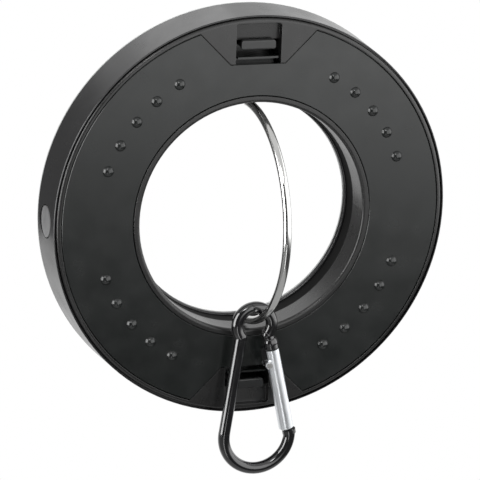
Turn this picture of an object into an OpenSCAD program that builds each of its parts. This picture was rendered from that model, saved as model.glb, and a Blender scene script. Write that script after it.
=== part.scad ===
// Ring-shaped patio umbrella light: a battery ring with a folding bail and a snap hook.
// It stands as it hangs from its hook: the ring's axis lies along Y, the battery face
// looks towards -Y and the lens towards +Y. The origin is the middle of the ring, where
// the bail's pivot line crosses the ring's axis. Each piece of the ring is drawn lying
// down, with the battery face upwards, and is then stood up. All sizes are millimetres.

/* [Ring] */
// Outer diameter at the lens
ring_d = 199.4; // [180:0.2:230]
// How much less the shell's radius is at the battery face than at the lens
shell_taper = 1.2; // [0.4:0.1:2]
// Diameter of the hole inside the front lip
lip_d = 112.6; // [96:0.2:126]
// Step in radius from the lip in to the hole through the lens
hole_step = 1.25; // [0.8:0.05:1.5]
// Width of the front lip round the hole
lip_w = 3.1; // [2.6:0.1:3.6]
// Thickness of the plastic walls
wall = 2; // [1.6:0.1:2.4]
// Width of the shell's thin front edge
edge_w = 0.6; // [0.4:0.1:1]
// Width of the dark groove between shell and rim
groove_w = 0.6; // [0.4:0.1:1]
// Width of the rim between the groove and the lid
rim_w = 2.2; // [1.8:0.1:3]
// Depth of the shell's edge below the battery face
edge_drop = 0.6; // [0.3:0.1:1.2]
// Rounding of the rim's outer edge
rim_round = 1.6; // [0.4:0.1:1.7]
// Rounding of the lip's edge towards the hole
lip_round = 1.4; // [0.4:0.1:1.5]
// Rounding of the shell's edge inside the hole
edge_r = 0.9; // [0.4:0.1:1.2]

/* [Lid] */
// Thickness of the battery lid
lid_t = 2; // [1.6:0.1:2.6]
// Gap round the lid
lid_gap = 0.3; // [0.2:0.05:0.5]
// Width of the ledges that carry the lid
ledge_w = 2.3; // [1.6:0.1:2.6]
// Thickness of the ledges that carry the lid
ledge_t = 1.5; // [1:0.1:2]
// Diameter of a grip bump
bump_d = 5.4; // [3:0.1:6]
// Height of a grip bump
bump_h = 1.8; // [0.6:0.1:2.2]
// Angle from the latch line to the first bump
bump_first = 30; // [25:0.5:36]
// Angle between neighbouring bumps
bump_step = 10; // [7:0.5:11]
// Number of bumps in each quarter
bump_count = 5; // [3:1:5]

/* [Latches] */
// Radial length of a latch island
island_l = 19.9; // [19:0.1:21]
// Width of the latch pocket
pocket_w = 22.6; // [21:0.1:26]
// Width of the thumb pad
pad_w = 17; // [14:0.5:18.5]
// Radial length of the thumb pad
pad_l = 4.8; // [4:0.1:5.4]
// Thickness of the latch's spring leg
leg_t = 1.4; // [1:0.1:1.8]
// Distance from the lid's outer edge in to the catch edge
catch_inset = 8.9; // [8.2:0.1:9.6]
// How far the latch nose reaches under the catch
nose_bite = 0.8; // [0.4:0.1:1.2]
// Radius of the barrel that the latch turns on
barrel_r = 1.3; // [1:0.1:1.5]

/* [Cells] */
// Diameter of a battery cell
cell_d = 14.5; // [13.5:0.1:14.8]
// Length of a battery cell with its nub
cell_l = 50.5; // [44:0.5:51]
// Length of a contact spring
spring_l = 3; // [2:0.1:4]
// Thickness of a contact plate
contact_t = 0.5; // [0.3:0.1:0.8]
// Gap between a cell and its bay
cell_gap = 0.5; // [0.3:0.1:0.6]

/* [Light] */
// Thickness of the lens
lens_t = 2; // [1.6:0.1:2.4]
// Thickness of the light board
board_t = 1.2; // [0.8:0.1:1.6]
// Width of the light board's ring
board_w = 14; // [8:0.5:15]
// Room between the light board and the lens
light_room = 3.1; // [2:0.1:8]
// Number of light chips
led_count = 24; // [12:1:36]
// Width of a light chip
led_w = 3.5; // [2:0.1:5]
// Height of a light chip
led_h = 0.8; // [0.5:0.1:1]
// Thickness of the battery floor and of the web under it
floor_t = 1.5; // [1.2:0.1:1.6]

/* [Screws] */
// Distance of the case screws in from the housing's outer wall
screw_inset = 4.7; // [4:0.1:6]
// Shank diameter of a case screw
screw_d = 2.8; // [2:0.1:3]
// Head diameter of a case screw
screw_head_d = 5.2; // [4:0.1:5.6]
// Length of a case screw under its head
screw_l = 6; // [5:0.1:6.4]

/* [Button] */
// Diameter of the power button
button_d = 15.2; // [13:0.1:16]
// Gap round the power button
button_gap = 0.5; // [0.3:0.1:0.7]
// How far the button's dome stands out of the wall
button_out = 0.9; // [0.5:0.1:1.4]
// Travel of the power button
button_travel = 0.6; // [0.3:0.1:0.6]
// Width of the switch
switch_w = 6; // [5:0.1:7]
// Width of the switch board
switch_board_w = 22; // [16:0.5:24]

/* [Bail] */
// Thickness of the bail's wire
wire_d = 4; // [3:0.1:4.2]
// Gap between the bail's half ring and the hole's wall
bail_gap = 0.8; // [0.4:0.1:2]
// Angle of the bail from straight out, at rest
bail_turn = 3.5; // [-8:0.5:8]
// Diameter of the bail's pivot ends
pivot_d = 3.2; // [2.4:0.1:3.4]
// Running clearance of the pivot ends, on the radius
pivot_clearance = 0.05; // [0.03:0.01:0.1]
// Outer diameter of a pivot bush
bush_d = 6.8; // [6:0.1:8]
// Length of a pivot bush
bush_l = 7; // [6:0.1:7.4]

/* [Snap hook] */
// Thickness of the snap hook's bar
bar_d = 5.8; // [4.5:0.1:6]
// Distance of the snap hook's plane from the battery face
hook_out = 9; // [8:0.1:12]
// Inner radius of the eye
eye_in_r = 5.8; // [5.6:0.05:7.5]
// Sideways place of the eye's middle
eye_x = -0.4; // [-1:0.1:0.4]
// Inner radius of the big bend
bend_in_r = 13.9; // [12:0.05:17]
// Distance from the eye's middle down to the middle of the big bend
bend_down = 56.8; // [54:0.1:70]
// Sideways place of the big bend's middle from the eye's
bend_x = 3.2; // [2.6:0.1:3.6]
// Diameter of the gate
gate_d = 7.2; // [5:0.1:7.6]
// How far the gate's middle lies inside the middle of the nose
gate_in = 1; // [0:0.1:1.4]
// Sideways place of the gate's rivet from the eye's middle
rivet_x = 7.5; // [7:0.1:9]
// Distance from the eye's middle down to the rivet
rivet_down = 20.4; // [19.6:0.1:21]
// Diameter of the rivet
rivet_d = 1.8; // [1.4:0.1:2.4]
// Running clearance of the rivet, on the radius
rivet_clearance = 0.05; // [0.03:0.01:0.1]

/* [Hidden] */

$fn = 144;
cut = 1;              // how far a cutter runs past the solid it cuts
sink = 0.1;           // how far a piece of one solid runs into the next
seat_gap = 0.3;       // gap between curved faces that nest
joint_step = 0.05;    // step in radius where a straight bar, a ball and a bend join
black = "#2b2d2e";

// Heights, from the lens up to the battery face
ring_t = lid_t + cell_gap + cell_d + seat_gap + 2 * floor_t + board_t + light_room + lens_t;
z_face = ring_t / 2;
z_back = -ring_t / 2;
z_lens = z_back + lens_t;
z_seat = z_face - lid_t;
z_cell = z_seat - cell_gap - cell_d / 2;
z_floor = z_cell - cell_d / 2 - seat_gap;
z_web_top = z_floor - floor_t;
z_web = z_web_top - floor_t;
z_board = z_web - board_t;
z_edge = z_face - edge_drop;
shoulder_drop = 0.8;  // shoulder of the rim below the lid's seat
z_shoulder = z_seat - shoulder_drop;

// Radii, from the outside in
ring_r = ring_d / 2;
face_r = ring_r - shell_taper;
lip_r = lip_d / 2;
hole_r = lip_r - hole_step;
rim_r = face_r - edge_w - groove_w;
lid_seat_r = rim_r - rim_w;
lid_r = lid_seat_r - lid_gap;
housing_r = face_r - wall - seat_gap;
lip_out_r = lip_r + lip_w;
lid_hole_r = lip_out_r + lid_gap;
inner_wall_r = lip_r + wall;
foot_in_r = inner_wall_r + seat_gap;
foot_t = 1.6;         // thickness of the shell's wall inside the housing's inner wall
foot_out_r = foot_in_r + foot_t;
foot_top = z_lens + 2.4;
flange_h = 1.5;       // height of the shell's flange at the lens
edge_soft = 0.2;      // chamfer of the shell's front edge
ledge_z = z_seat - ledge_t;

// Latches
catch_at = lid_seat_r - catch_inset;
island_in = lid_seat_r - island_l;
island_half_w = pocket_w / 2 + wall + 0.3;
pad_over = 0.5;       // how far the thumb pad reaches past the catch edge
leg_gap = 0.6;        // between the latch nose, pressed clear, and the catch edge
pad_in = catch_at + pad_over - pad_l;
leg_out = catch_at - nose_bite - leg_gap;
leg_in = leg_out - leg_t;
barrel_at = (leg_out + leg_in) / 2;
barrel_z = z_floor + 3;
hanger_in = island_in + 2.4;
hanger_t = 0.9;
island_top_t = lid_t + 0.4;
island_out = lid_seat_r + sink;
undercut = nose_bite + 1;
slope_drop = 3.8;     // depth of the fingertip slope at the catch edge
slope_rise = 0.4;     // how much shallower the slope is at its outer end
catch_t = 1.7;        // thickness of the catch
catch_z = z_face - slope_drop - catch_t;
ramp_rise = 1.75;     // steepness of the latch nose's upper side

// Cells
cell_r = inner_wall_r + cell_gap + cell_d / 2;
nub_l = 1;
nub_d = 5.5;
bay_wall = 1.6;

// Screws
screw_angles = [16, 45, 135, 164, 196, 225, 315, 344];
screw_r = housing_r - wall - screw_inset;
screw_head_t = 1.8;
boss_wall = 1.4;
boss_r = screw_d / 2 + boss_wall;
lens_rib_t = 1;       // thickness of the lens's two ribs
flange_r = screw_r + boss_r + lens_rib_t + 2 * seat_gap;
led_circle_r = (foot_out_r + screw_r - boss_r) / 2;
screw_hole_gap = 0.05; // round the thread in its boss, on the radius
screw_play = 0.2;     // round the screw in the housing, on the radius

// Button
button_r = button_d / 2;
flange_over = 1.6;
flange_t = 1.2;
stem_r = 2;
stem_l = 3.3;
plunger_l = 0.6;
switch_h = 3.4;
switch_board_t = 1.4;
board_h = 12;
slot_in = 0.8;        // how far the switch board's ends reach into its posts
slot_play = 0.05;
wall_mid_r = shell_r(0);
button_back = wall_mid_r - wall - seat_gap;
flange_front = sqrt(pow(wall_mid_r - wall, 2) - pow(button_r + flange_over, 2)) - seat_gap;
flange_back = flange_front - flange_t;
stem_end = flange_back - stem_l;
switch_play = 0.1;    // left over between button and switch when pressed
plunger_end = stem_end - button_travel - switch_play;
switch_front = plunger_end - plunger_l;
switch_back = switch_front - switch_h;

// Bail and snap hook
bail_r = lip_r - bail_gap - wire_d / 2;
eye_r = eye_in_r + bar_d / 2;
bend_r = bend_in_r + bar_d / 2;
bush_clearance = 0.05; // of the bush in the housing's wall, on the radius
z_hook = z_face + hook_out;
hang_angle = asin(z_hook / (bail_r * cos(bail_turn)));
hang_x = z_hook * tan(bail_turn);
bar_over_x = sqrt(pow(eye_r, 2) - pow(hang_x - eye_x, 2));
hang_clearance = 0.54; // between the eye and the wire it hangs on, seen from the side
eye_drop = (wire_d / 2 + bar_d / 2 + hang_clearance) / cos(hang_angle);
eye_y = -bail_r * cos(hang_angle) - bar_over_x + eye_drop;
neck_angle = 40;      // where the eye's arc stops, below the horizontal
nose_angle = 0;       // where the big bend stops, above the horizontal
left_neck = eye_r * [-cos(neck_angle), -sin(neck_angle)];
right_neck = eye_r * [cos(neck_angle), -sin(neck_angle)];
bend_mid = [bend_x, -bend_down];
leg_angle = tangent_angle(left_neck, bend_mid, bend_r);
leg_foot = bend_mid + bend_r * [cos(leg_angle), sin(leg_angle)];
nose_at = bend_mid + bend_r * [cos(nose_angle), sin(nose_angle)];
rivet_at = [rivet_x, -rivet_down];
gate_offset = 3.3;    // gate's axis from the rivet, square to the gate
gate_top = 7;         // gate's upper end from the rivet, along the gate
gate_gap = 0.6;       // gap at each end of the gate
nose_t = 2;
nose_offset = gate_offset + gate_in;
gate_turn = gate_lean(nose_at, rivet_at, nose_offset);
gate_l = gate_reach(nose_at, rivet_at, nose_offset) - gate_gap - nose_t;
tongue_t = 2.4;
slot_t = tongue_t + 2 * seat_gap;
ear_r = 1.9;
ear_t = gate_d - 1;
tongue_r = 1.8;
slot_end = 4.6;
gate_bore_r = 1.5;
gate_spring_r = 1.2;
gate_spring_l = 11;

// Outer radius of the shell at a height
function shell_r(z) = face_r + (ring_r - face_r) * (z_edge - z) / (z_edge - z_lens);

// Points along an arc
function arc(middle, r, from, to, steps = 6) =
    [for (i = [0:steps]) middle + r * [cos(from + (to - from) * i / steps),
                                       sin(from + (to - from) * i / steps)]];

// Angle on a circle at which a line from a point above it touches its left side
function tangent_angle(point, middle, r) =
    let (away = point - middle, reach = norm(away))
    atan2(away[1], away[0]) + acos(r / reach);

// Lean of the gate's axis from straight down, when the axis passes a pivot at an offset
function gate_lean(end, pivot, offset) =
    let (away = end - pivot, reach = norm(away))
    atan2(away[0], -away[1]) - asin(offset / reach);

// Length along the gate's axis from the pivot's level to the end
function gate_reach(end, pivot, offset) =
    sqrt(pow(norm(end - pivot), 2) - pow(offset, 2));

// Stands a piece of the ring up, battery face towards -Y
module upright() { rotate([90, 0, 0]) children(); }

// Places a piece at one end of the bail's pivot line
module at_end(side) { rotate([0, 0, side > 0 ? 0 : 180]) children(); }

// Places a piece in one of the four battery bays
module at_bay(number) {
    rotate([0, 0, 45 + 90 * (number - 1)]) translate([cell_r, 0, z_cell]) children();
}

// Extrudes an outline drawn in radius and height along the latch's width
module across(width) {
    rotate([90, 0, 90]) linear_extrude(height = width, center = true) children();
}

// A round bar between two points of the snap hook's plane
module bar(from, to, d) {
    way = to - from;
    translate(from) rotate([0, 90, atan2(way[1], way[0])]) cylinder(d = d, h = norm(way));
}

// ---------------------------------------------------------------- ring

module outer_shell() {
    outline = concat(
        [[shell_r(z_lens), z_lens], [flange_r, z_lens], [flange_r, z_lens + flange_h],
         [shell_r(z_lens) - wall, z_lens + flange_h], [shell_r(z_web) - wall, z_web],
         [foot_out_r, z_web], [foot_out_r, z_lens], [hole_r, z_lens]],
        arc([hole_r + edge_r, foot_top - edge_r], edge_r, 180, 90),
        [[foot_in_r, foot_top], [foot_in_r, z_web_top],
         [shell_r(z_web_top) - wall, z_web_top], [face_r - wall, z_shoulder],
         [face_r - edge_w, z_shoulder], [face_r - edge_w, z_edge],
         [face_r - edge_soft, z_edge], [face_r, z_edge - edge_soft]]);
    color(black) upright() difference() {
        union() {
            rotate_extrude() polygon(outline);
            for (a = screw_angles)
                rotate([0, 0, a]) translate([screw_r, 0, z_lens + seat_gap])
                    cylinder(r = boss_r, h = z_web_top - z_lens - 2 * seat_gap, $fn = 48);
        }
        for (a = screw_angles)
            rotate([0, 0, a]) translate([screw_r, 0, z_lens])
                cylinder(r = screw_d / 2 + screw_hole_gap, h = ring_t, $fn = 32);
        translate([seat_gap + button_travel - button_back, 0, 0]) rotate([0, -90, 0])
            cylinder(r = button_r + button_gap, h = wall * 4);
    }
}

module housing() {
    inner_lip = arc([lip_r + lip_round, z_face - lip_round], lip_round, 90, 180);
    rim_edge = arc([rim_r - rim_round, z_face - rim_round], rim_round, 0, 90);
    outline = concat(
        [[inner_wall_r, z_floor], [inner_wall_r, ledge_z],
         [inner_wall_r + ledge_w, ledge_z],
         [inner_wall_r + ledge_w, z_seat], [lip_out_r, z_seat], [lip_out_r, z_face]],
        inner_lip,
        [[lip_r, foot_top + seat_gap], [inner_wall_r, foot_top + seat_gap],
         [inner_wall_r, z_web_top],
         [housing_r, z_web_top], [housing_r, z_shoulder], [rim_r, z_shoulder]],
        rim_edge,
        [[lid_seat_r, z_face], [lid_seat_r, z_seat], [lid_seat_r - ledge_w, z_seat],
         [lid_seat_r - ledge_w, ledge_z], [housing_r - wall, ledge_z],
         [housing_r - wall, z_floor]]);
    color(black) upright() difference() {
        union() {
            rotate_extrude() polygon(outline);
            for (side = [1, -1]) at_end(side) island();
            for (number = [1:4]) at_bay(number) bay_walls();
            for (side = [1, -1]) board_post(side);
        }
        for (side = [1, -1]) at_end(side) latch_well();
        for (side = [1, -1]) at_end(side) translate([0, lip_r - cut, 0])
            rotate([-90, 0, 0]) cylinder(r = bush_d / 2 + bush_clearance, h = wall + 2 * cut);
        for (a = screw_angles)
            rotate([0, 0, a]) translate([screw_r, 0, z_web_top - cut])
                cylinder(r = screw_d / 2 + screw_play, h = floor_t + 2 * cut, $fn = 32);
        button_window();
    }
}

// A post of the housing, with a slot for one end of the switch board
module board_post(side) {
    post_w = 2;
    post_l = switch_board_t + 4;
    start = side * switch_board_w / 2 - (side > 0 ? slot_in : post_w - slot_in);
    difference() {
        translate([-switch_back - 2, start, z_floor - sink])
            cube([post_l, post_w, board_h * 0.75]);
        translate([-switch_back - slot_play, -switch_board_w / 2 - slot_play, z_floor - cut])
            cube([switch_board_t + 2 * slot_play, switch_board_w + 2 * slot_play, board_h]);
    }
}

// End walls of one battery bay
module bay_walls() {
    wall_h = cell_d * 0.8;
    wall_in = cell_d / 2 + cell_gap;
    walls = [cell_l / 2 + contact_t, -cell_l / 2 - spring_l - contact_t - bay_wall];
    for (start = walls) translate([-wall_in, start, z_floor - z_cell - sink])
        cube([cell_d + cell_gap * 2, bay_wall, wall_h + sink]);
}

// Trapezoid outline of a latch island, smaller by inset on every side
module island_outline(inset) {
    low = island_in + inset;
    half_low = island_half_w + inset - inset * sqrt(2);
    reach = island_out + 4 - low;
    polygon([[-half_low, low], [half_low, low],
             [half_low + reach, low + reach], [-half_low - reach, low + reach]]);
}

module island() {
    skirt_z = z_floor + 6;
    difference() {
        intersection() {
            translate([0, 0, skirt_z]) linear_extrude(height = z_face - skirt_z) island_outline(0);
            cylinder(r = island_out, h = z_face);
        }
        intersection() {
            translate([0, 0, skirt_z - cut])
                linear_extrude(height = z_face - island_top_t - skirt_z + cut) island_outline(wall);
            cylinder(r = lid_seat_r - ledge_w, h = z_face);
        }
    }
    well_out = catch_at + undercut + wall;
    under_top = z_face - island_top_t + sink;
    slope_t = slope_drop;
    translate([-pocket_w / 2 - wall, island_in, z_floor - sink])
        cube([pocket_w + 2 * wall, well_out - island_in, under_top - z_floor + sink]);
    translate([-pocket_w / 2 - wall, well_out - sink, under_top - slope_t])
        cube([pocket_w + 2 * wall, lid_seat_r - wall - well_out, slope_t]);
}

// The pocket, the well of the latch and the slope for a fingertip
module latch_well() {
    slope_in = z_face - slope_drop;
    slope_out = lid_seat_r - 0.5;
    slope_end = slope_in + slope_rise;
    corner = 1.6;
    half = pocket_w / 2;
    intersection() {
        across(pocket_w + cut) polygon([
            [island_in - cut, z_floor], [catch_at + undercut, z_floor],
            [catch_at + undercut, catch_z], [catch_at, catch_z], [catch_at, slope_in],
            [slope_out + cut, slope_end], [slope_out + cut, z_face + cut],
            [island_in - cut, z_face + cut]]);
        translate([0, 0, z_floor]) linear_extrude(height = ring_t) polygon(concat(
            [[-half, 0], [half, 0]],
            arc([half - corner, slope_out - corner], corner, 0, 90),
            arc([corner - half, slope_out - corner], corner, 90, 180)));
    }
}

// Room for the button's flange and stem in the housing's outer wall
module button_window() {
    translate([-housing_r - cut, -button_r - flange_over - 1, z_floor])
        cube([wall + 2 * cut, 2 * (button_r + flange_over + 1), ledge_z - z_floor]);
    translate([-housing_r - cut, 0, 0]) rotate([0, 90, 0])
        cylinder(r = button_r + button_gap * 2, h = 2 * cut);
}

module lens() {
    soft_in = 1;
    soft_out = 1.2;
    inner_round = arc([hole_r + soft_in, z_back + soft_in], soft_in, 180, 270);
    outer_round = arc([ring_r - soft_out, z_back + soft_out], soft_out, 270, 360);
    rib_out = flange_r - seat_gap;
    rib_in = foot_out_r + seat_gap;
    rib_z = z_lens + flange_h - seat_gap;
    color("#e6e8e6") upright() rotate_extrude() polygon(concat(
        [[hole_r, z_lens]], inner_round, outer_round, [[ring_r, z_lens]],
        [[rib_out, z_lens], [rib_out, rib_z], [rib_out - lens_rib_t, rib_z],
         [rib_out - lens_rib_t, z_lens], [rib_in + lens_rib_t, z_lens], [rib_in + lens_rib_t, rib_z],
         [rib_in, rib_z], [rib_in, z_lens]]));
}

module led_board() {
    color("white") upright() translate([0, 0, z_board]) difference() {
        cylinder(r = led_circle_r + board_w / 2, h = board_t);
        translate([0, 0, -cut]) cylinder(r = led_circle_r - board_w / 2, h = board_t + 2 * cut);
    }
}

module leds() {
    color("#f4e38a") upright() for (i = [0:led_count - 1])
        rotate([0, 0, 360 * i / led_count])
            translate([led_circle_r - led_w / 2, -led_w / 2, z_board - led_h])
                cube([led_w, led_w, led_h]);
}

module case_screws() {
    cross_l = screw_head_d * 0.6;
    cross_w = 0.7;
    cross_depth = 0.8;
    color("silver") upright() for (a = screw_angles)
        rotate([0, 0, a]) translate([screw_r, 0, z_floor]) difference() {
            union() {
                cylinder(d = screw_head_d, h = screw_head_t, $fn = 40);
                translate([0, 0, -screw_l]) cylinder(d = screw_d, h = screw_l + sink, $fn = 32);
            }
            for (turn = [0, 90])
                rotate([0, 0, turn]) translate([-cross_l / 2, -cross_w / 2, screw_head_t - cross_depth])
                    cube([cross_l, cross_w, cross_depth + cut]);
        }
}

// ---------------------------------------------------------------- lid and latches

module lid() {
    rib_out = lid_seat_r - ledge_w - lid_gap;
    rib_in = inner_wall_r + ledge_w + seat_gap;
    rib_t = 1.2;
    low_rib_t = 0.9;
    soft = 0.35;
    rib_h = 1.6;
    low_rib_h = 1;
    outline = [
        [lid_hole_r, z_seat], [lid_hole_r, z_face - soft], [lid_hole_r + soft, z_face],
        [lid_r - soft, z_face], [lid_r, z_face - soft], [lid_r, z_seat],
        [rib_out, z_seat], [rib_out, z_seat - rib_h], [rib_out - rib_t, z_seat - rib_h],
        [rib_out - rib_t, z_seat], [rib_in + low_rib_t, z_seat],
        [rib_in + low_rib_t, z_seat - low_rib_h], [rib_in, z_seat - low_rib_h],
        [rib_in, z_seat]];
    color(black) upright() {
        difference() {
            rotate_extrude() polygon(outline);
            for (side = [1, -1]) at_end(side) translate([0, 0, z_seat - 2])
                linear_extrude(height = lid_t + 4) island_outline(-lid_gap);
        }
        for (side = [1, -1]) at_end(side) latch_hanger();
        for (side = [1, -1], end = [1, -1], i = [0:bump_count - 1])
            at_end(end) rotate([0, 0, side * (bump_first + bump_step * i)])
                translate([0, (lid_hole_r + lid_r) / 2, z_face]) bump();
    }
}

// A round bump for grip, a cap of a ball
module bump() {
    ball_r = (pow(bump_d / 2, 2) + pow(bump_h, 2)) / (2 * bump_h);
    intersection() {
        translate([0, 0, bump_h - ball_r]) sphere(r = ball_r, $fn = 48);
        translate([0, 0, -lid_t / 2]) cylinder(d = bump_d + 1, h = lid_t + bump_h, $fn = 48);
    }
}

// The lid's arm that reaches down the well and carries a latch
module latch_hanger() {
    arm_w = pad_w + 3;
    cradle_r = barrel_r + seat_gap;
    cradle_top = barrel_z + 0.4;
    cradle_out = barrel_at + cradle_r + 0.5;
    cradle_end = z_floor + 0.8;
    arm_top = z_face - 0.7;
    leg_at = island_in - lid_gap - 0.2;
    leg_thick = 1.6;
    cross_z = z_face - 8;
    difference() {
        across(arm_w) polygon([
            [leg_at - leg_thick, z_seat + sink], [leg_at - leg_thick, cross_z],
            [hanger_in, cross_z], [hanger_in, cradle_end],
            [cradle_out, cradle_end], [cradle_out, cradle_top],
            [hanger_in + hanger_t, cradle_top], [hanger_in + hanger_t, arm_top],
            [hanger_in, arm_top], [hanger_in, cross_z + leg_thick],
            [leg_at, cross_z + leg_thick], [leg_at, z_seat + sink]]);
        across(arm_w + 2 * cut) translate([barrel_at, barrel_z]) circle(r = cradle_r, $fn = 48);
    }
}

// A snap latch: barrel, spring leg, nose and thumb pad
module latch() {
    nose_gap = 0.55;
    nose_face = 1.2;
    nose_h = 3;
    nose_in_z = catch_z - nose_gap + ramp_rise * (catch_at - leg_out);
    nose_tip = catch_at + nose_bite;
    nose_tip_z = catch_z - nose_gap - ramp_rise * nose_bite;
    pad_z = z_seat - 0.3;
    pad_top = z_face - 0.2;
    pad_out = pad_in + pad_l;
    round_r = 0.8;
    across(pad_w) translate([barrel_at, barrel_z]) circle(r = barrel_r, $fn = 48);
    across(pad_w) polygon([
        [leg_in, barrel_z], [leg_out, barrel_z], [leg_out, pad_z + sink], [leg_in, pad_z + sink]]);
    across(pad_w * 0.6) polygon([
        [leg_out - sink, nose_in_z], [leg_out, nose_in_z], [nose_tip, nose_tip_z],
        [nose_tip, nose_tip_z - nose_face], [leg_out, nose_tip_z - nose_h],
        [leg_out - sink, nose_tip_z - nose_h]]);
    intersection() {
        across(pad_w) polygon(concat(
            [[pad_in, pad_z], [pad_out, pad_z]],
            arc([pad_out - round_r, pad_top - round_r], round_r, 0, 90),
            arc([pad_in + round_r, pad_top - round_r], round_r, 90, 180)));
        translate([0, 0, pad_z - cut]) linear_extrude(height = lid_t + 2 * cut + 1)
            pad_outline(pad_out);
    }
}

// Plan of the thumb pad, a rectangle with round corners
module pad_outline(pad_out) {
    corner = 1.5;
    half = pad_w / 2;
    polygon(concat(
        arc([half - corner, pad_out - corner], corner, 0, 90),
        arc([corner - half, pad_out - corner], corner, 90, 180),
        arc([corner - half, pad_in + corner], corner, 180, 270),
        arc([half - corner, pad_in + corner], corner, 270, 360)));
}

module top_latch() { color(black) upright() at_end(1) latch(); }

module bottom_latch() { color(black) upright() at_end(-1) latch(); }

// ---------------------------------------------------------------- battery bays

module cell(number) {
    body_l = cell_l - nub_l;
    color("#7d8590") upright() at_bay(number) rotate([-90, 0, 0]) {
        translate([0, 0, -cell_l / 2]) cylinder(d = cell_d, h = body_l, $fn = 96);
        translate([0, 0, cell_l / 2 - nub_l - sink]) cylinder(d = nub_d, h = nub_l + sink, $fn = 48);
    }
}

// A conical contact spring, as its outer shape with a hollow middle
module contact_spring(number) {
    color("silver") upright() at_bay(number)
        translate([0, -cell_l / 2 - spring_l, 0]) rotate([-90, 0, 0]) rotate_extrude($fn = 64)
            polygon([[2.6, 0], [4.2, 0], [3, spring_l], [1.4, spring_l]]);
}

// The two flat contacts of one bay
module contact_plates(number) {
    plate_w = 10;
    color("silver") upright() at_bay(number)
        for (start = [cell_l / 2, -cell_l / 2 - spring_l - contact_t])
            translate([-plate_w / 2, start, -plate_w / 2]) cube([plate_w, contact_t, plate_w]);
}

// ---------------------------------------------------------------- button and switch

module power_button() {
    rim_drop = 0.1;
    neck_r = button_r - 0.6;
    dome_h = button_out + rim_drop;
    rim_x = wall_mid_r - rim_drop;
    ball_r = (pow(button_r, 2) + pow(dome_h, 2)) / (2 * dome_h);
    color("#8d8f90") upright() rotate([0, -90, 0]) {
        translate([0, 0, button_back]) cylinder(r = button_r, h = rim_x - button_back);
        intersection() {
            translate([0, 0, rim_x + dome_h - ball_r]) sphere(r = ball_r, $fn = 144);
            translate([0, 0, rim_x - sink]) cylinder(r = button_r, h = dome_h + cut);
        }
        intersection() {
            union() {
                translate([0, 0, flange_back]) cylinder(r = button_r + flange_over, h = flange_t);
                translate([0, 0, flange_back])
                    cylinder(r = neck_r, h = button_back - flange_back + sink);
            }
            translate([z_floor + seat_gap, -ring_r, 0])
                cube([ledge_z - z_floor - 2 * seat_gap, ring_d, ring_r]);
        }
        translate([0, 0, stem_end]) cylinder(r = stem_r, h = stem_l + sink, $fn = 48);
    }
}

module tactile_switch() {
    plunger_d = 3.4;
    color("#3a3a3c") upright() rotate([0, -90, 0]) {
        translate([-switch_w / 2, -switch_w / 2, switch_back])
            cube([switch_w, switch_w, switch_h]);
        translate([0, 0, switch_front - sink])
            cylinder(d = plunger_d, h = plunger_l + sink, $fn = 48);
    }
}

module switch_board() {
    color("#2f6b3c") upright()
        translate([-switch_back, -switch_board_w / 2, z_floor])
            cube([switch_board_t, switch_board_w, board_h]);
}

// ---------------------------------------------------------------- bail

module bush(side) {
    front = bail_r + wire_d / 2 + seat_gap;
    color(black) upright() at_end(side) translate([0, front, 0]) rotate([-90, 0, 0]) difference() {
        cylinder(d = bush_d, h = bush_l);
        translate([0, 0, -cut])
            cylinder(d = pivot_d + 2 * pivot_clearance, h = bush_l + 2 * cut);
    }
}

module bail() {
    color("#d8dadb") upright() rotate([0, bail_turn, 0]) {
        rotate([90, 0, 90]) rotate_extrude(angle = 180) translate([bail_r, 0])
            circle(d = wire_d, $fn = 48);
        for (side = [1, -1]) at_end(side) translate([0, bail_r, 0]) {
            sphere(d = wire_d + 2 * joint_step, $fn = 48);
            rotate([-90, 0, 0]) cylinder(d = pivot_d, h = wire_d / 2 + bush_l);
        }
    }
}

// ---------------------------------------------------------------- snap hook

// Places a piece in the snap hook's plane, with the eye's middle at its origin
module at_hook() { upright() translate([eye_x, eye_y, z_hook]) children(); }

// Places a piece along the gate, rivet at the origin and the gate pointing down -Y
module at_gate() {
    translate(rivet_at) rotate([0, 0, gate_turn]) children();
}

// A bend of round bar in the snap hook's plane
module bend(middle, r, from, to) {
    translate(middle) rotate([0, 0, from]) rotate_extrude(angle = to - from)
        translate([r, 0]) circle(d = bar_d, $fn = 48);
}

module hook_frame() {
    block_l = 2.8;
    block_top = gate_top + gate_gap + block_l;
    bar_past = 0.5;
    block_end = rivet_at + [-sin(gate_turn) * block_top + cos(gate_turn) * gate_offset,
                            cos(gate_turn) * block_top + sin(gate_turn) * gate_offset];
    leg_way = (leg_foot - left_neck) / norm(leg_foot - left_neck);
    color(black) at_hook() {
        bend([0, 0], eye_r, -neck_angle, 180 + neck_angle);
        bend(bend_mid, bend_r, leg_angle, 360 + nose_angle + 2);
        bar(left_neck, leg_foot + bar_past * leg_way, bar_d - 2 * joint_step);
        translate(left_neck) sphere(d = bar_d + 2 * joint_step, $fn = 48);
        translate(right_neck) sphere(d = bar_d + 2 * joint_step, $fn = 48);
        bar(right_neck, block_end, bar_d - 2 * joint_step);
        translate(block_end) sphere(d = gate_d, $fn = 48);
        difference() {
            at_gate() {
                translate([gate_offset, gate_top + gate_gap, 0]) rotate([-90, 0, 0])
                    cylinder(d = gate_d - 0.2, h = block_l, $fn = 48);
                translate([-tongue_r, 0, -tongue_t / 2])
                    cube([2 * tongue_r, gate_top + gate_gap + block_l / 2, tongue_t]);
                translate([0, 0, -tongue_t / 2]) cylinder(r = tongue_r, h = tongue_t, $fn = 48);
            }
            at_gate() translate([0, 0, -bar_d]) cylinder(d = rivet_d, h = 2 * bar_d, $fn = 48);
        }
        at_gate() translate([nose_offset, -gate_l - gate_gap - nose_t, 0]) rotate([-90, 0, 0])
            cylinder(d = bar_d + 0.9, h = nose_t, $fn = 48);
    }
}

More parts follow.
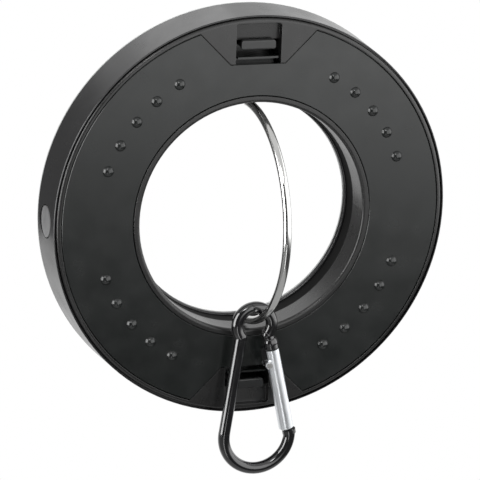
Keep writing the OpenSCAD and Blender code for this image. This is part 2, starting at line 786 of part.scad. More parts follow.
module hook_gate() {
    chamfer = 0.9;
    color("#c9ccce") at_hook() at_gate() difference() {
        union() {
            translate([gate_offset, -gate_l, 0]) rotate([-90, 0, 0]) {
                cylinder(r1 = gate_d / 2 - chamfer, r2 = gate_d / 2, h = chamfer, $fn = 64);
                translate([0, 0, chamfer]) cylinder(d = gate_d, h = gate_l - chamfer + gate_top, $fn = 64);
            }
            translate([0, 0, -ear_t / 2]) cylinder(r = ear_r, h = ear_t, $fn = 48);
            translate([0, -ear_r, -ear_t / 2]) cube([gate_offset, 2 * ear_r, ear_t]);
        }
        translate([-2 * gate_d, -slot_end, -slot_t / 2])
            cube([4 * gate_d, slot_end + gate_top + cut, slot_t]);
        translate([0, 0, -gate_d]) cylinder(r = rivet_d / 2 + rivet_clearance, h = 2 * gate_d, $fn = 48);
        translate([gate_offset, -slot_end - gate_spring_l, 0]) rotate([-90, 0, 0])
            cylinder(r = gate_bore_r, h = gate_spring_l + cut, $fn = 48);
    }
}

module gate_rivet() {
    half = ear_t / 2;
    head_gap = 0.05;
    head_d = rivet_d + 1;
    head_t = 0.5;
    color("silver") at_hook() at_gate() {
        translate([0, 0, -half - 2 * head_gap])
            cylinder(d = rivet_d, h = ear_t + 4 * head_gap, $fn = 48);
        for (side = [1, -1])
            translate([0, 0, side > 0 ? half + head_gap : -half - head_gap - head_t])
                cylinder(d = head_d, h = head_t, $fn = 48);
    }
}

// The gate's coil spring, as its outer shape
module gate_spring() {
    color("silver") at_hook() at_gate()
        translate([gate_offset, -slot_end - gate_spring_l, 0]) rotate([-90, 0, 0])
            cylinder(r = gate_spring_r, h = gate_spring_l, $fn = 40);
}

// ---------------------------------------------------------------- pieces

outer_shell();
housing();
lid();
top_latch();
bottom_latch();
lens();
led_board();
leds();
case_screws();
cell(1);  // cell_1
cell(2);  // cell_2
cell(3);  // cell_3
cell(4);  // cell_4
contact_spring(1);  // contact_spring_1
contact_spring(2);  // contact_spring_2
contact_spring(3);  // contact_spring_3
contact_spring(4);  // contact_spring_4
contact_plates(1);  // contact_plates_1
contact_plates(2);  // contact_plates_2
contact_plates(3);  // contact_plates_3
contact_plates(4);  // contact_plates_4
power_button();
tactile_switch();
switch_board();
bush(1);  // bush_top
bush(-1);  // bush_bottom
bail();
hook_frame();
hook_gate();
gate_rivet();
gate_spring();
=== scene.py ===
# %% [markdown]
# # A ring-shaped patio light, dressed for its picture
# The light is a flat ring that goes round an umbrella pole. Its battery face looks at us, its
# lens looks away, a wire bail folds out of the hole and a snap hook hangs on the bail. All of
# it is hard plastic and metal, so the solids that were drawn as CAD already have the right
# shape. What is left to do here is what a product photographer does: find the camera, give
# every piece its real finish, wind the springs, and light it softly on white.

# %% Load the solids and keep their box
import math
import bpy
import numpy
from mathutils import Matrix, Vector


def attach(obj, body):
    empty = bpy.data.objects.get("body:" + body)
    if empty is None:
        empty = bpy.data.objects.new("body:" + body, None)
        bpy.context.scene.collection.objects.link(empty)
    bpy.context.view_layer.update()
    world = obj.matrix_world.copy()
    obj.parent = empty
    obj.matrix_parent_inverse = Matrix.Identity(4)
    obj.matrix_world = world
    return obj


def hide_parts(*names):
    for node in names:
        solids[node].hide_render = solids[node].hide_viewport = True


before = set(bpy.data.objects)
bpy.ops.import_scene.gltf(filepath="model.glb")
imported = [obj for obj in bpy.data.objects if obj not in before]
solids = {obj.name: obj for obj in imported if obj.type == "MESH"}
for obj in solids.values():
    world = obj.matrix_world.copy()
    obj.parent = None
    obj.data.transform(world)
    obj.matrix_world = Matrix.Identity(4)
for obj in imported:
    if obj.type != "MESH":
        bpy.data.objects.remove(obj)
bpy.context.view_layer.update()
scene = bpy.context.scene
scene.view_settings.view_transform = "Standard"

# %% [markdown]
# ## The camera
# A picture of a product is taken from far away with a long lens, so that a round thing stays
# round. Here the camera stands to the left of the ring, a little above it, and is tilted by
# two degrees. It could be aimed with a constraint, but three turns in a row say the same in
# numbers: turn about the upright, look down, then tilt the picture.

# %% Camera
CAMERA_PLACE = Vector((-0.4633, -1.3282, 0.3941))
CAMERA_TURN, CAMERA_DOWN, CAMERA_TILT = 19.172, 16.225, 1.997
LENS_MM, SENSOR_MM = 226.94, 36
VIEW_END = 20

def degrees_about(axis, angle):
    return Matrix.Rotation(math.radians(angle), 4, axis)

lens_data = bpy.data.cameras.new("camera")
lens_data.lens, lens_data.sensor_width = LENS_MM, SENSOR_MM
lens_data.clip_end = VIEW_END
camera = bpy.data.objects.new("camera", lens_data)
scene.collection.objects.link(camera)
camera.matrix_world = (Matrix.Translation(CAMERA_PLACE) @ degrees_about("Z", -CAMERA_TURN)
                       @ degrees_about("X", 90 - CAMERA_DOWN) @ degrees_about("Z", CAMERA_TILT))
scene.camera = camera
print("camera is", round(CAMERA_PLACE.length, 3), "m from the ring's middle")

# %% [markdown]
# ## What a finish is
# A finish is a material: one shader that says how the skin takes light, fed by a few small
# nodes. The nodes could be placed by hand in the editor. In a script three helpers do it: one
# starts a finish, one adds a node, and one gives a finish to solids by their names.

# %% Start a finish, add a node, paint solids
def new_finish(name):
    """A new material, its node tree and its shader."""
    material = bpy.data.materials.new(name)
    material.use_nodes = True
    tree = material.node_tree
    return material, tree, tree.nodes["Principled BSDF"]

def add(tree, kind, **values):
    """Adds a node. Values name its properties, or its sockets with blanks as underscores."""
    node = tree.nodes.new(kind)
    for key, value in values.items():
        socket = node.inputs.get(key.replace("_", " "))
        if socket is None:
            setattr(node, key, value)
        else:
            socket.default_value = value
    return node

def paint(finish, *names):
    """Gives a finish to CAD solids by their names."""
    for name in names:
        for material_slot in solids[name].material_slots:
            material_slot.material = finish
    print(finish.name, "on", ", ".join(names))

print("waiting for a finish:", ", ".join(sorted(solids)))

# %% [markdown]
# ## Reading a place on the surface
# A flat colour looks like a drawing: real plastic and metal drift a little in tone and in
# shine. So every finish below starts from a noise that is fixed to the piece and travels with
# it when the piece moves. The object's own coordinates do that. They are in metres, so a grain
# of half a millimetre needs a scale of two thousand. A noise mostly stays near its middle, so
# only that middle part is spread over the two ends of a tone or a shine.

# %% Noise, drift and grain
NOISE_LOW, NOISE_HIGH = 0.3, 0.7

def ramp_node(tree, value, low, high, result_low, result_high):
    """Runs evenly from one result to another while the value goes from low to high."""
    run = add(tree, "ShaderNodeMapRange", From_Min=low, From_Max=high, To_Min=result_low,
              To_Max=result_high)
    tree.links.new(value, run.inputs["Value"])
    return run.outputs["Result"]

def noise(tree, scale, detail, stretch=None):
    """Noise fixed to the piece; a stretch below 1 makes it longer along that axis."""
    place = add(tree, "ShaderNodeTexCoord").outputs["Object"]
    if stretch:
        mapping = add(tree, "ShaderNodeMapping")
        mapping.inputs["Scale"].default_value = stretch
        tree.links.new(place, mapping.inputs["Vector"])
        place = mapping.outputs["Vector"]
    texture = add(tree, "ShaderNodeTexNoise", Scale=scale, Detail=detail)
    tree.links.new(place, texture.inputs["Vector"])
    return texture.outputs["Fac"]

def mottled(tree, value, dark, light):
    """A colour that drifts between two tones."""
    ramp = add(tree, "ShaderNodeValToRGB")
    first, last = ramp.color_ramp.elements
    first.position, last.position = NOISE_LOW, NOISE_HIGH
    first.color, last.color = (*dark, 1), (*light, 1)
    tree.links.new(value, ramp.inputs["Fac"])
    return ramp.outputs["Color"]

def raise_grain(tree, shader, heights, depth, edge):
    """Bumps one height after another onto the shader; depth and soft edge are in metres."""
    before = add(tree, "ShaderNodeBevel", Radius=edge).outputs["Normal"] if edge else None
    for height, strength in heights:
        bump = add(tree, "ShaderNodeBump", Strength=strength, Distance=depth)
        tree.links.new(height, bump.inputs["Height"])
        if before:
            tree.links.new(before, bump.inputs["Normal"])
        before = bump.outputs["Normal"]
    tree.links.new(before, shader.inputs["Normal"])

HALF_MM = 0.0005
print("noise scale for a grain of half a millimetre:", round(1 / HALF_MM))

# %% [markdown]
# ## One skin for all
# Black plastic, milky plastic, metal and paint have one thing in common: a tone that drifts, a
# shine that drifts, and a fine relief. Two functions build these three, and each finish then
# sets only what is its own. A noise is given as its scale and its detail, a relief as pairs of
# a noise and a strength, and a shine as the lowest and the highest roughness.

# %% Skin
PLASTIC_DEPTH, METAL_DEPTH = 0.0002, 0.0001

def surface(tree, shader, shine, shine_noise, relief, depth, edge=0):
    """A range of roughness and a fine relief."""
    rough = ramp_node(tree, noise(tree, *shine_noise), NOISE_LOW, NOISE_HIGH, *shine)
    tree.links.new(rough, shader.inputs["Roughness"])
    heights = [(noise(tree, *grain), strength) for grain, strength in relief]
    raise_grain(tree, shader, heights, depth, edge)

def skin(name, dark, light, shine, tone_noise, shine_noise, relief, depth, edge=0):
    """A finish with two tones and a surface."""
    finish, tree, shader = new_finish(name)
    tone = mottled(tree, noise(tree, *tone_noise), dark, light)
    tree.links.new(tone, shader.inputs["Base Color"])
    surface(tree, shader, shine, shine_noise, relief, depth, edge)
    return finish

print("relief depth in mm:", 1000 * PLASTIC_DEPTH, "on plastic,", 1000 * METAL_DEPTH, "on metal")

# %% [markdown]
# ## Black moulded plastic
# The shell, the housing, the lid, the latches and the bushes of the bail are moulded in one
# black, and each mould leaves its own skin. The shell and the lid are the smoothest, the
# bushes the roughest. So one function makes the black, and five rows of numbers set how rough
# and how grainy it is. The housing also has softened edges, which catch a line of light. The
# large roundings of its rim and lip are in the solid already. This is only the last half
# millimetre at its small edges, so shading is enough for it.

# %% Black plastic finishes
BLACK_TONE, BLACK_SHINE = (38, 4), (90, 5)
GRAIN_DETAIL = 3
BROAD_WAVES = ((26, 1), 0.1)
SOFT_EDGE = 0.0005

def moulded_black(name, dark, light, shine, grain_size, grain, edge=0):
    relief = [((1 / grain_size, GRAIN_DETAIL), grain), BROAD_WAVES]
    return skin(name, dark, light, shine, BLACK_TONE, BLACK_SHINE, relief, PLASTIC_DEPTH, edge)

shell_black = moulded_black("shell black", (0.010, 0.010, 0.011), (0.014, 0.014, 0.015),
                            shine=(0.20, 0.28), grain_size=0.0005, grain=0.05)
housing_black = moulded_black("housing black", (0.011, 0.011, 0.011), (0.015, 0.015, 0.015),
                              shine=(0.24, 0.32), grain_size=0.0005, grain=0.05,
                              edge=SOFT_EDGE)
lid_black = moulded_black("lid black", (0.008, 0.0095, 0.009), (0.011, 0.013, 0.0125),
                          shine=(0.20, 0.28), grain_size=0.0004, grain=0.05)
latch_black = moulded_black("latch black", (0.014, 0.015, 0.015), (0.019, 0.020, 0.020),
                            shine=(0.26, 0.34), grain_size=0.0004, grain=0.05)
bush_black = moulded_black("bush black", (0.016, 0.016, 0.016), (0.024, 0.024, 0.024),
                           shine=(0.40, 0.50), grain_size=0.0003, grain=0.08)
paint(shell_black, "outer_shell")
paint(housing_black, "housing")
paint(lid_black, "lid")
paint(latch_black, "top_latch", "bottom_latch")
paint(bush_black, "bush_top", "bush_bottom")

# %% [markdown]
# ## A matt band in the hole
# The rear half of the hole's wall is duller than its front half. It could be a piece of its
# own, but the wall is one moulding, so it is the same finish with a rougher and less shiny
# skin from a depth backwards. Two measures of the place find the band: how far back it lies,
# and how far out from the ring's axis, so that the outside of the housing stays as it is.

# %% Matt band
BAND_DEPTH, BAND_BLEND = 0.0005, 0.0004
BAND_REACH, REACH_BLEND = 0.062, 0.0005
MORE_ROUGH = 0.45
SHEEN, BAND_SHEEN = 0.5, 0.06

def math_node(tree, operation, *values):
    """One sum; values are sockets or numbers."""
    node = add(tree, "ShaderNodeMath", operation=operation)
    for n, value in enumerate(values):
        if isinstance(value, (int, float)):
            node.inputs[n].default_value = value
        else:
            tree.links.new(value, node.inputs[n])
    return node.outputs[0]

def place_node(tree):
    """The X, Y and Z of the place on the piece."""
    parts = add(tree, "ShaderNodeSeparateXYZ")
    tree.links.new(add(tree, "ShaderNodeTexCoord").outputs["Object"], parts.inputs[0])
    return [parts.outputs[axis] for axis in "XYZ"]

tree = housing_black.node_tree
shader = tree.nodes["Principled BSDF"]
x, y, z = place_node(tree)
z_squared = math_node(tree, "MULTIPLY", z, z)
radius = math_node(tree, "SQRT", math_node(tree, "MULTIPLY_ADD", x, x, z_squared))
behind = ramp_node(tree, y, BAND_DEPTH - BAND_BLEND, BAND_DEPTH + BAND_BLEND, 0, 1)
inside = ramp_node(tree, radius, BAND_REACH, BAND_REACH + REACH_BLEND, 1, 0)
matt = math_node(tree, "MULTIPLY", behind, inside)
wall_rough = shader.inputs["Roughness"].links[0].from_socket
tree.links.new(math_node(tree, "MULTIPLY_ADD", matt, MORE_ROUGH, wall_rough),
               shader.inputs["Roughness"])
tree.links.new(ramp_node(tree, matt, 0, 1, SHEEN, BAND_SHEEN),
               shader.inputs["Specular IOR Level"])
print("matt band up to", 1000 * BAND_REACH, "mm from the axis")

# %% [markdown]
# ## Milky lens
# The far side of the ring is one flat, milky lens that spreads the light of the chips. From
# the front only its thin edges show. Milky plastic is white with light going through it, so
# some subsurface scattering over a few millimetres, under a skin that is neither matt nor
# glossy, says more than a plain white would.

# %% Lens finish
LENS_SCATTER = 0.3
SCATTER_REACH = (0.003, 0.003, 0.0028)
milky_lens = skin("milky lens", (0.70, 0.72, 0.71), (0.77, 0.79, 0.78), shine=(0.30, 0.42),
                  tone_noise=(60, 4), shine_noise=(120, 3), relief=[((1400, 2), 0.08)],
                  depth=PLASTIC_DEPTH)
shader = milky_lens.node_tree.nodes["Principled BSDF"]
shader.inputs["Subsurface Weight"].default_value = LENS_SCATTER
shader.inputs["Subsurface Radius"].default_value = SCATTER_REACH
shader.inputs["Subsurface Scale"].default_value = 1.0
paint(milky_lens, "lens")

# %% [markdown]
# ## Metals
# There are three bare metals: chrome on the bail, drawn aluminium for the gate, and plated
# steel for the screws, the rivet, the contacts and the springs. A metal shows only what it
# mirrors, so it is mostly the roughness that tells them apart. Chrome is nearly a mirror, and
# drawn aluminium has fine lines along its length, which a stretched noise gives.

# %% Metal finishes
METAL_TONE, METAL_SHINE = (70, 4), (150, 4)
LINE_DETAIL = 3

def bare_metal(name, dark, light, shine, line_scale, line_depth, stretch=(1, 1, 1)):
    relief = [((line_scale, LINE_DETAIL, stretch), line_depth)]
    finish = skin(name, dark, light, shine, METAL_TONE, METAL_SHINE, relief, METAL_DEPTH)
    finish.node_tree.nodes["Principled BSDF"].inputs["Metallic"].default_value = 1.0
    return finish

bail_chrome = bare_metal("bail chrome", (0.48, 0.48, 0.475), (0.54, 0.54, 0.53),
                         shine=(0.13, 0.18), line_scale=500, line_depth=0.03)
gate_aluminium = bare_metal("gate aluminium", (0.66, 0.68, 0.70), (0.76, 0.78, 0.80),
                            shine=(0.30, 0.38), line_scale=2200, line_depth=0.15,
                            stretch=(1, 1, 0.05))
plated_steel = bare_metal("plated steel", (0.50, 0.50, 0.49), (0.62, 0.62, 0.61),
                          shine=(0.22, 0.34), line_scale=1500, line_depth=0.10)
paint(bail_chrome, "bail")
paint(gate_aluminium, "hook_gate")
plates = ["contact_plates_%d" % n for n in range(1, 5)]
paint(plated_steel, "case_screws", "gate_rivet", *plates)

# %% [markdown]
# ## Painted snap hook
# The snap hook is steel bar, bent and dipped in gloss black paint. Paint on a bar is a little
# thicker here and there, so its mirror wavers. It could be modelled as an uneven bar, but a
# very low, broad bump under a smooth clear coat does the same to the light.

# %% Snap hook finish
CLEAR_COAT, COAT_ROUGH = 0.7, 0.06
WAVER, FINE_DUST = ((260, 1), 0.12), ((1600, 2), 0.03)
hook_black = skin("hook gloss black", (0.006, 0.006, 0.007), (0.011, 0.011, 0.012),
                  shine=(0.10, 0.17), tone_noise=(120, 3), shine_noise=(260, 3),
                  relief=[WAVER, FINE_DUST], depth=PLASTIC_DEPTH)
shader = hook_black.node_tree.nodes["Principled BSDF"]
shader.inputs["Coat Weight"].default_value = CLEAR_COAT
shader.inputs["Coat Roughness"].default_value = COAT_ROUGH
paint(hook_black, "hook_frame")

# %% [markdown]
# ## Grey button, boards, chips and switch
# The power button is the one grey piece outside. The pieces inside are hidden while the lid is
# shut. They could stay plain, but a part is often looked at opened up, so they still get
# their real finishes.

# %% Small plastic finishes
SMALL_TONE, SMALL_SHINE, SMALL_DETAIL = (220, 4), (400, 3), 2

def paint_small(solid_name, name, dark, light, shine, grain_size, grain):
    relief = [((1 / grain_size, SMALL_DETAIL), grain)]
    paint(skin(name, dark, light, shine, SMALL_TONE, SMALL_SHINE, relief, METAL_DEPTH),
          solid_name)

paint_small("power_button", "button grey", (0.24, 0.24, 0.242), (0.28, 0.28, 0.282),
            shine=(0.42, 0.52), grain_size=0.0004, grain=0.10)
paint_small("tactile_switch", "switch black", (0.012, 0.012, 0.012), (0.02, 0.02, 0.02),
            shine=(0.35, 0.45), grain_size=0.0002, grain=0.08)
paint_small("switch_board", "switch board green", (0.012, 0.07, 0.022), (0.02, 0.10, 0.035),
            shine=(0.28, 0.4), grain_size=0.0006, grain=0.08)
paint_small("led_board", "light board white", (0.70, 0.71, 0.70), (0.78, 0.79, 0.78),
            shine=(0.30, 0.42), grain_size=0.0006, grain=0.08)
paint_small("leds", "chip phosphor", (0.72, 0.50, 0.10), (0.82, 0.62, 0.18),
            shine=(0.25, 0.4), grain_size=0.0002, grain=0.15)

# %% [markdown]
# ## Where a round solid begins and ends
# The cells and the springs lie at several angles round the ring, so their finishes and coils
# need the middle and the width of their two ends. These could be typed in, but then they would
# be wrong as soon as the CAD changes. So they are read from the corners: the axis of a round
# solid is the way in which the corners spread differently from the other two.

# %% Ends of a round solid
END_SHARE = 0.02

def round_shape(solid):
    """The centres and outer radii of a round solid's two ends, the wider end first."""
    points = numpy.array([tuple(corner.co) for corner in solid.data.vertices])
    values, ways = numpy.linalg.eigh(numpy.cov(points.T))
    slim = values[2] - values[1] > values[1] - values[0]
    along = points @ ways[:, 2 if slim else 0]
    margin = END_SHARE * (along.max() - along.min())
    ends = []
    for at_end in (along < along.min() + margin, along > along.max() - margin):
        ring = points[at_end]
        centre = (ring.min(axis=0) + ring.max(axis=0)) / 2
        ends.append((Vector(centre), float(numpy.linalg.norm(ring - centre, axis=1).max())))
    return sorted(ends, key=lambda end: -end[1])

print("cell_1 is", round(2000 * round_shape(solids["cell_1"])[0][1], 1), "mm wide")

# %% [markdown]
# ## Battery cells
# A cell is a steel can in a printed wrap: dark for most of its length, then a copper band at
# the plus end, and bare steel on the two flat ends. The wrap could be a picture rolled round
# it, but a colour that changes with the distance along the can is enough.

# %% Cells
STEEL, WRAP, COPPER = (0.55, 0.55, 0.54, 1), (0.022, 0.026, 0.034, 1), (0.48, 0.22, 0.10, 1)
BANDS = [(0.0, STEEL), (0.006, WRAP), (0.72, COPPER), (0.97, STEEL)]
WRAP_SHINE, WRAP_METALLIC = (0.18, 0.30), 0.35
PRINT_RELIEF = [((1100, 2), 0.05)]

def printed_can(name, minus_end, plus_end):
    """A finish with bands; each band starts at a share of the can's length."""
    finish, tree, shader = new_finish(name)
    surface(tree, shader, WRAP_SHINE, SMALL_SHINE, PRINT_RELIEF, METAL_DEPTH)
    shader.inputs["Metallic"].default_value = WRAP_METALLIC
    way = (plus_end - minus_end).normalized()
    along = add(tree, "ShaderNodeVectorMath", operation="DOT_PRODUCT")
    along.inputs[1].default_value = way
    tree.links.new(add(tree, "ShaderNodeTexCoord").outputs["Object"], along.inputs[0])
    share = ramp_node(tree, along.outputs["Value"], minus_end.dot(way), plus_end.dot(way), 0, 1)
    ramp = add(tree, "ShaderNodeValToRGB")
    ramp.color_ramp.interpolation = "CONSTANT"
    first, second = ramp.color_ramp.elements
    (first.position, first.color), (second.position, second.color) = BANDS[:2]
    for start, tone in BANDS[2:]:
        ramp.color_ramp.elements.new(start).color = tone
    tree.links.new(share, ramp.inputs["Fac"])
    tree.links.new(ramp.outputs["Color"], shader.inputs["Base Color"])
    return finish

for number in range(1, 5):
    name = "cell_%d" % number
    (minus_end, _), (plus_end, _) = round_shape(solids[name])
    paint(printed_can("can wrap %d" % number, minus_end, plus_end), name)

# %% [markdown]
# ## The path of a spring
# In the CAD a spring is only the space it fills. Here each one is wound from wire. It could be
# a curve with a thickness, but a mesh of its own can be exported as it is. First comes the
# path of the wire's middle: at each end three quarters of a turn lie flat, open turns climb
# between them, and a spring with one wide and one narrow end becomes a cone.

# %% Helix
STEPS_PER_TURN = 24
FLAT_TURNS = 0.75

def helix(start, end, start_r, end_r, wire_r, turns):
    """The coil's own direction, and for each step the wire's middle and the way outward."""
    way = (end - start).normalized()
    side = way.orthogonal().normalized()
    front = way.cross(side)
    length = (end - start).length
    path = []
    for step in range(STEPS_PER_TURN * turns + 1):
        turn = step / STEPS_PER_TURN
        climb = min(max((turn - FLAT_TURNS) / (turns - 2 * FLAT_TURNS), 0), 1)
        height = wire_r + climb * (length - 2 * wire_r)
        radius = start_r + (end_r - start_r) * height / length - wire_r
        outward = math.cos(math.tau * turn) * side + math.sin(math.tau * turn) * front
        path.append((start + way * height + outward * radius, outward))
    return way, path

print("a turn has", STEPS_PER_TURN, "steps")

# %% [markdown]
# ## The wire
# Wire is a round tube, so a ring of ten corners is set at each step of the path, and every two
# rings are joined by a band of faces. Two flat faces close the cut ends. The coil rides on the
# body of the piece it belongs to and takes the place of the solid that stood for it.

# %% Wind the springs
WIRE_SIDES = 10

def wind(name, solid_name, body, wire_r, turns):
    """A coil that keeps inside a round solid, from its wide end to its narrow one."""
    (wide, wide_r), (narrow, narrow_r) = round_shape(solids[solid_name])
    way, path = helix(wide, narrow, wide_r, narrow_r, wire_r, turns)
    corners, faces = [], []
    for centre, outward in path:
        for n in range(WIRE_SIDES):
            around = math.tau * n / WIRE_SIDES
            corners.append(centre + wire_r * (math.cos(around) * outward + math.sin(around) * way))
    for start in range(0, WIRE_SIDES * (len(path) - 1), WIRE_SIDES):
        for n in range(WIRE_SIDES):
            a, b = start + n, start + (n + 1) % WIRE_SIDES
            faces.append((a, a + WIRE_SIDES, b + WIRE_SIDES, b))
    faces.append(tuple(range(WIRE_SIDES)))
    faces.append(tuple(reversed(range(len(corners) - WIRE_SIDES, len(corners)))))
    mesh = bpy.data.meshes.new(name)
    mesh.from_pydata([tuple(corner) for corner in corners], [], faces)
    mesh.polygons.foreach_set("use_smooth", [len(face) == 4 for face in faces])
    mesh.materials.append(plated_steel)
    coil = bpy.data.objects.new(name, mesh)
    scene.collection.objects.link(coil)
    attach(coil, body)
    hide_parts(solid_name)
    print(name, "has", turns, "turns of", round(2000 * wire_r, 1), "mm wire")

for number in range(1, 5):
    wind("contact_coil_%d" % number, "contact_spring_%d" % number, "ring",
         wire_r=0.00035, turns=3)
wind("gate_coil", "gate_spring", "gate", wire_r=0.00025, turns=12)

# %% [markdown]
# ## White world
# The light is pictured on white, hanging free, with no shadow behind it. A white world alone
# would wash the black out, because it also lights the piece. So there are two worlds in one:
# plain white for the camera, in mirrors and in glass, and a dimmer one for all other light.

# %% White world
WORLD_GLOW = 0.6
WHITE = (1, 1, 1, 1)

def seen_white(tree, plain, white_shader, target):
    """Shows white to the camera, in mirrors and in glass, and the plain shader to the rest."""
    rays = add(tree, "ShaderNodeLightPath").outputs
    seen = math_node(tree, "MAXIMUM", rays["Is Camera Ray"], rays["Is Glossy Ray"])
    seen = math_node(tree, "MAXIMUM", seen, rays["Is Transmission Ray"])
    mix = add(tree, "ShaderNodeMixShader")
    tree.links.new(seen, mix.inputs["Fac"])
    tree.links.new(plain, mix.inputs[1])
    tree.links.new(white_shader, mix.inputs[2])
    tree.links.new(mix.outputs["Shader"], target)

world = bpy.data.worlds.new("studio")
scene.world = world
world.use_nodes = True
sky = world.node_tree
dim_sky = sky.nodes["Background"]
dim_sky.inputs["Color"].default_value = WHITE
dim_sky.inputs["Strength"].default_value = WORLD_GLOW
white_sky = add(sky, "ShaderNodeBackground", Color=WHITE, Strength=1.0)
seen_white(sky, dim_sky.outputs["Background"], white_sky.outputs["Background"],
           sky.nodes["World Output"].inputs["Surface"])
print("world glow:", WORLD_GLOW)

# %% [markdown]
# ## Floor
# The floor is a plain pale plane well below the ring. It is seen white like the world. For all
# other light it is a matt pale floor, so it still throws light back and takes the shadow.

# %% Floor
FLOOR_Z, FLOOR_SIZE = -1.0, 12
FLOOR_PALE, FLOOR_ROUGH = (0.8, 0.8, 0.8, 1), 0.9

bpy.ops.mesh.primitive_plane_add(size=FLOOR_SIZE, location=(0, 0, FLOOR_Z))
floor = bpy.context.object
floor.name = "floor"
floor_paint, tree, shader = new_finish("floor white")
shader.inputs["Base Color"].default_value = FLOOR_PALE
shader.inputs["Roughness"].default_value = FLOOR_ROUGH
floor_white = add(tree, "ShaderNodeEmission", Color=WHITE, Strength=1.0)
seen_white(tree, shader.outputs["BSDF"], floor_white.outputs["Emission"],
           tree.nodes["Material Output"].inputs["Surface"])
floor.data.materials.append(floor_paint)
print("floor at", FLOOR_Z, "m")

# %% [markdown]
# ## Soft lamps
# Three soft boxes do the lighting: the key stands in front, high on the left, a wide weak one
# fills from the right, and a small one behind puts a sheen on the top of the wall. Bare bulbs
# would do too, but they make hard edges on the shadows and small hot spots on the plastic.

# %% Lamps
def soft_box(name, place, aim, size, power):
    """A rectangular lamp that looks from a place to its aim; power is in watts."""
    lamp_data = bpy.data.lights.new(name, "AREA")
    lamp_data.shape, lamp_data.size, lamp_data.size_y = "RECTANGLE", size[0], size[1]
    lamp_data.energy = power
    lamp = bpy.data.objects.new(name, lamp_data)
    scene.collection.objects.link(lamp)
    lamp.location = place
    look = Vector(aim) - Vector(place)
    lamp.rotation_euler = look.to_track_quat("-Z", "Y").to_euler()
    lamp.visible_camera = False
    print(name, "of", power, "W")

RING_MIDDLE, RING_TOP = (0, 0, 0), (0, 0, 0.08)
soft_box("key light", (-0.7, -1.2, 1.3), RING_MIDDLE, size=(0.5, 0.4), power=7.5)
soft_box("fill light", (1.3, -1.0, 0.4), RING_MIDDLE, size=(0.8, 0.8), power=4)
soft_box("back light", (0.02, 1.0, 0.62), RING_TOP, size=(0.5, 0.3), power=0.3)

# %% [markdown]
# ## Cards that only mirrors see
# A glossy black thing shows little of its own colour: what is seen on it is the room. So the
# room is built from cards, as a photographer does. They could be lamps, but then they would
# also light the piece and wash the black out. Here only mirrors see them, and they throw no
# shadow. A card glows evenly, or by a function of the place on it.

# %% Card and wall
WALL_STEP = 5
OTHER_SIGHTS = ("camera", "diffuse", "transmission", "volume_scatter", "shadow")

def card(name, shape, glow):
    """A glowing sheet; glow is a number, or a function of the tree and the place's X and Z."""
    corners, faces = shape
    mesh = bpy.data.meshes.new(name)
    mesh.from_pydata(corners, [], faces)
    sheet = bpy.data.objects.new(name, mesh)
    scene.collection.objects.link(sheet)
    finish, tree, shader = new_finish(name)
    tree.nodes.remove(shader)
    lit = add(tree, "ShaderNodeEmission", Color=WHITE, Strength=1.0)
    if callable(glow):
        x, _, z = place_node(tree)
        tree.links.new(glow(tree, x, z), lit.inputs["Color"])
    else:
        lit.inputs["Strength"].default_value = glow
    tree.links.new(lit.outputs[0], tree.nodes["Material Output"].inputs["Surface"])
    mesh.materials.append(finish)
    for sight in OTHER_SIGHTS:
        setattr(sheet, "visible_" + sight, False)
    print(name, "with", len(faces), "faces")

def curved_wall(radius, angle_from, angle_to, low, high):
    """Corners and faces of an upright wall round the ring; angles from +X, in degrees."""
    count = max(1, round((angle_to - angle_from) / WALL_STEP))
    corners, faces = [], []
    for n in range(count + 1):
        angle = math.radians(angle_from + (angle_to - angle_from) * n / count)
        x, y = radius * math.cos(angle), radius * math.sin(angle)
        corners += [(x, y, low), (x, y, high)]
    for n in range(count):
        faces.append((2 * n, 2 * n + 2, 2 * n + 3, 2 * n + 1))
    return corners, faces

print("a round wall has a corner every", WALL_STEP, "degrees")

# %% [markdown]
# ## The tent
# The largest card is a round wall in front, from far left to the right. The flat battery face
# mirrors one small part of it, low and a little to the right, so a fade there becomes the fade
# on the face: dark at its foot and bright higher up. Left of the middle the wall stays dark,
# but low on the left it is a little lighter, which gives the gate its grey side.

# %% Tent
TENT_RADIUS, TENT_FROM, TENT_TO = 1.0, -205, 20
TENT_LOW, TENT_HIGH = -0.96, 0.75
FADE_LOW, FADE_HIGH, FADE_SLANT, FADE_POWER = -0.36, -0.12, 0.12, 2.5
BRIGHT_GLOW, BRIGHT_LEFT, BRIGHT_RIGHT = 2.4, -0.2, 0.1
FOOT_GLOW, FOOT_FULL, FOOT_END = 0.3, -0.45, -0.35
FOOT_LEFT, FOOT_RIGHT = -0.3, 0.0
BASE_GLOW = 0.08

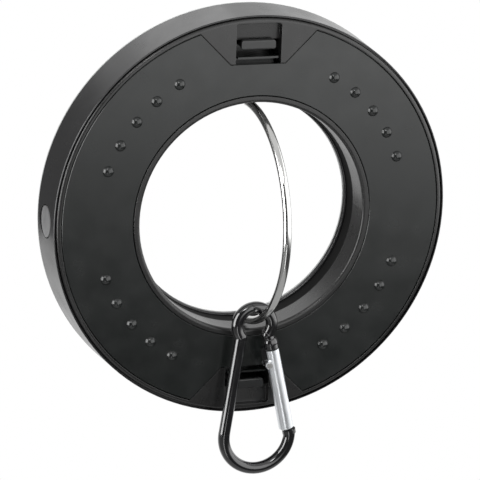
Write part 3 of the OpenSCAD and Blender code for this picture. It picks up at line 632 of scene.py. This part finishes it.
def window(tree, x, z):
    """Dark low down and to the left, bright high up and to the right."""
    lift = math_node(tree, "MULTIPLY_ADD", x, FADE_SLANT, z)
    rise = ramp_node(tree, lift, FADE_LOW, FADE_HIGH, 0, 1)
    side = ramp_node(tree, x, BRIGHT_LEFT, BRIGHT_RIGHT, 0, 1)
    bright = math_node(tree, "MULTIPLY", math_node(tree, "POWER", rise, FADE_POWER), side)
    foot = math_node(tree, "MULTIPLY", ramp_node(tree, z, FOOT_FULL, FOOT_END, FOOT_GLOW, 0),
                     ramp_node(tree, x, FOOT_LEFT, FOOT_RIGHT, 1, 0))
    base = math_node(tree, "ADD", foot, BASE_GLOW)
    return math_node(tree, "MULTIPLY_ADD", bright, BRIGHT_GLOW, base)

card("tent", curved_wall(TENT_RADIUS, TENT_FROM, TENT_TO, TENT_LOW, TENT_HIGH), window)

# %% [markdown]
# ## Floor of the tent
# Without a floor of its own the tent would show the white one in every surface that looks
# down, and the snap hook would lose its black. The card is one face that joins the foot of the
# wall, and its glow is a middle grey.

# %% Tent floor
TENT_FLOOR_GLOW = 0.6
foot_corners, _ = curved_wall(TENT_RADIUS, TENT_FROM, TENT_TO, TENT_LOW, TENT_LOW)
one_face = [tuple(range(0, len(foot_corners), 2))]
card("tent floor", (foot_corners, one_face), TENT_FLOOR_GLOW)

# %% [markdown]
# ## Two strips
# A painted bar mirrors a tall bright strip as one thin line along it. Two strips make the two
# lines on the snap hook. They stand just inside the tent: one far to the left, and a narrow one
# in line with the camera, low down so that the bail doesn't mirror it.

# %% Strips
LEFT_GLOW, MIDDLE_GLOW = 8, 3.5
card("left strip", curved_wall(radius=0.95, angle_from=-186, angle_to=-152,
                               low=-0.30, high=0.6), LEFT_GLOW)
card("middle strip", curved_wall(radius=0.97, angle_from=-114, angle_to=-105,
                                 low=-0.94, high=-0.33), MIDDLE_GLOW)

# %% [markdown]
# ## The card behind
# The outer wall on the left and the wall of the hole on the right both mirror a place behind
# on the left. The world is white there, so one dark card darkens both. It is a flat sheet, a
# little lighter towards its top.

# %% Card behind left
BACK_Y, BACK_LEFT, BACK_RIGHT, BACK_LOW, BACK_HIGH = 1.0, -1.7, -0.2, -0.36, 0.42
BACK_GLOW_LOW, BACK_GLOW_HIGH = 0.15, 0.3
back_corners = [(BACK_LEFT, BACK_Y, BACK_LOW), (BACK_RIGHT, BACK_Y, BACK_LOW),
                (BACK_RIGHT, BACK_Y, BACK_HIGH), (BACK_LEFT, BACK_Y, BACK_HIGH)]

def back_fade(tree, x, z):
    return ramp_node(tree, z, BACK_LOW, BACK_HIGH, BACK_GLOW_LOW, BACK_GLOW_HIGH)

card("card behind left", (back_corners, [(0, 1, 2, 3)]), back_fade)
